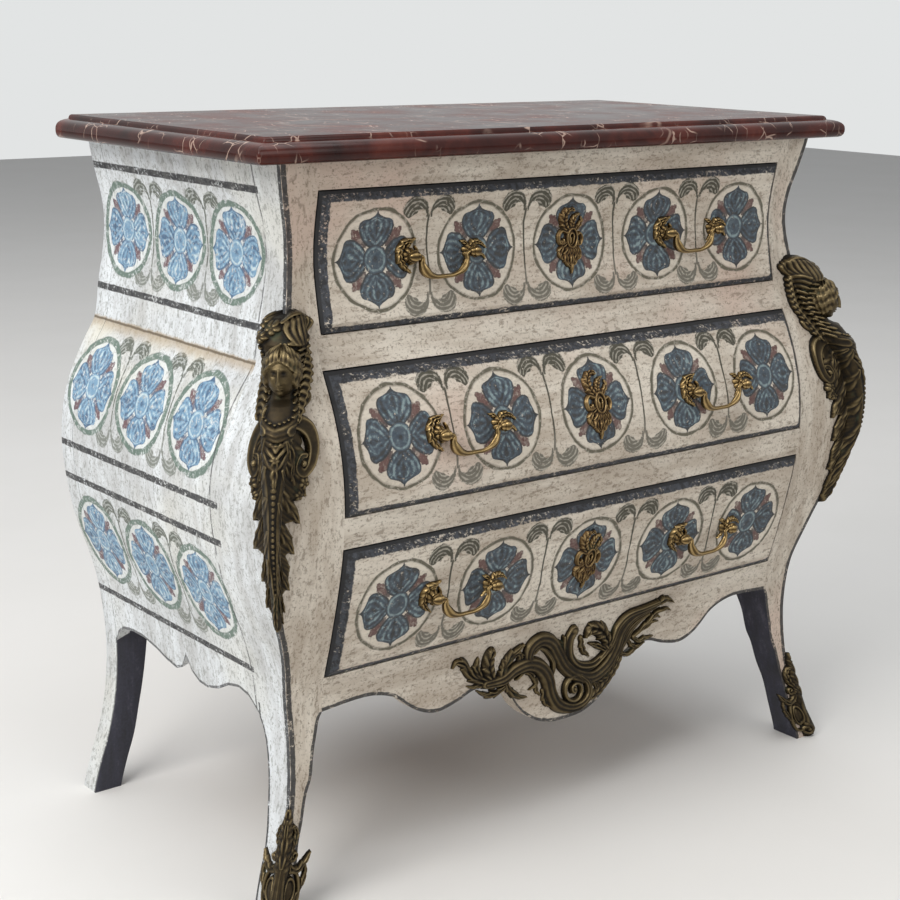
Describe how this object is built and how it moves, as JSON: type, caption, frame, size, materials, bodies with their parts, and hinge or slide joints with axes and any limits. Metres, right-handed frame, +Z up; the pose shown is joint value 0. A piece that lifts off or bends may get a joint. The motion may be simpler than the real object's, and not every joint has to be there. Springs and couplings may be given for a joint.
{
  "type": "bombe chest of drawers",
  "caption": "Painted bombe chest of drawers with swelling front and sides, marble top, sliding drawers, bail handles and bronze corner, foot and apron mounts.",
  "frame": {"origin": "on the floor, under the middle of the chest's outer box", "axes": "+Z up, -Y out of the drawer fronts, +X to the right as seen from the front"},
  "size_m": [0.918, 0.4874, 0.84],
  "materials": {
    "painted_wood": "matte",
    "bare_wood": "matte",
    "marble": "polished",
    "bronze": "aged"
  },
  "bodies": {
    "case": {"marble_top": "marble", "front_left_stile_and_leg": "painted_wood", "rear_left_stile_and_leg": "painted_wood", "left_side_panel": "painted_wood", "left_corner_mount": "bronze", "left_foot_mount": "bronze", "top_drawer_left_runner": "bare_wood", "middle_drawer_left_runner": "bare_wood", "front_right_stile_and_leg": "painted_wood", "rear_right_stile_and_leg": "painted_wood", "right_side_panel": "painted_wood", "right_corner_mount": "bronze", "right_foot_mount": "bronze", "top_drawer_right_runner": "bare_wood", "middle_drawer_right_runner": "bare_wood", "back_panel": "bare_wood", "rear_top_rail": "bare_wood", "bottom_board": "bare_wood", "top_rail": "painted_wood", "upper_drawer_rail": "painted_wood", "lower_drawer_rail": "painted_wood", "front_apron": "painted_wood", "apron_mount": "bronze"},
    "top_drawer": {"top_drawer_front": "painted_wood", "top_drawer_left_side": "bare_wood", "top_drawer_right_side": "bare_wood", "top_drawer_back": "bare_wood", "top_drawer_bottom": "bare_wood", "top_drawer_escutcheon": "bronze", "top_left_handle_left_post": "bronze", "top_left_handle_right_post": "bronze", "top_right_handle_left_post": "bronze", "top_right_handle_right_post": "bronze"},
    "top_left_handle_bail": {"top_left_handle_bail": "bronze"},
    "top_right_handle_bail": {"top_right_handle_bail": "bronze"},
    "middle_drawer": {"middle_drawer_front": "painted_wood", "middle_drawer_left_side": "bare_wood", "middle_drawer_right_side": "bare_wood", "middle_drawer_back": "bare_wood", "middle_drawer_bottom": "bare_wood", "middle_drawer_escutcheon": "bronze", "middle_left_handle_left_post": "bronze", "middle_left_handle_right_post": "bronze", "middle_right_handle_left_post": "bronze", "middle_right_handle_right_post": "bronze"},
    "middle_left_handle_bail": {"middle_left_handle_bail": "bronze"},
    "middle_right_handle_bail": {"middle_right_handle_bail": "bronze"},
    "bottom_drawer": {"bottom_drawer_front": "painted_wood", "bottom_drawer_left_side": "bare_wood", "bottom_drawer_right_side": "bare_wood", "bottom_drawer_back": "bare_wood", "bottom_drawer_bottom": "bare_wood", "bottom_drawer_escutcheon": "bronze", "bottom_left_handle_left_post": "bronze", "bottom_left_handle_right_post": "bronze", "bottom_right_handle_left_post": "bronze", "bottom_right_handle_right_post": "bronze"},
    "bottom_left_handle_bail": {"bottom_left_handle_bail": "bronze"},
    "bottom_right_handle_bail": {"bottom_right_handle_bail": "bronze"}
  },
  "joints": [
    {"name": "top_drawer_slide", "type": "slide", "parent": "case", "child": "top_drawer", "axis": [0, -1, 0], "range_m": [0, 0.28]},
    {"name": "top_left_bail_hinge", "type": "hinge", "parent": "top_drawer", "child": "top_left_handle_bail", "pos_m": [-0.192, -0.17641, 0.70857], "axis": [-1, 0, 0], "range_deg": [0, 90]},
    {"name": "top_right_bail_hinge", "type": "hinge", "parent": "top_drawer", "child": "top_right_handle_bail", "pos_m": [0.192, -0.17641, 0.70857], "axis": [-1, 0, 0], "range_deg": [0, 90]},
    {"name": "middle_drawer_slide", "type": "slide", "parent": "case", "child": "middle_drawer", "axis": [0, -1, 0], "range_m": [0, 0.28]},
    {"name": "middle_left_bail_hinge", "type": "hinge", "parent": "middle_drawer", "child": "middle_left_handle_bail", "pos_m": [-0.192, -0.23447, 0.52423], "axis": [-1, 0, 0], "range_deg": [0, 90]},
    {"name": "middle_right_bail_hinge", "type": "hinge", "parent": "middle_drawer", "child": "middle_right_handle_bail", "pos_m": [0.192, -0.23447, 0.52423], "axis": [-1, 0, 0], "range_deg": [0, 90]},
    {"name": "bottom_drawer_slide", "type": "slide", "parent": "case", "child": "bottom_drawer", "axis": [0, -1, 0], "range_m": [0, 0.28]},
    {"name": "bottom_left_bail_hinge", "type": "hinge", "parent": "bottom_drawer", "child": "bottom_left_handle_bail", "pos_m": [-0.192, -0.22439, 0.33765], "axis": [-1, 0, 0], "range_deg": [0, 90]},
    {"name": "bottom_right_bail_hinge", "type": "hinge", "parent": "bottom_drawer", "child": "bottom_right_handle_bail", "pos_m": [0.192, -0.22439, 0.33765], "axis": [-1, 0, 0], "range_deg": [0, 90]}
  ]
}
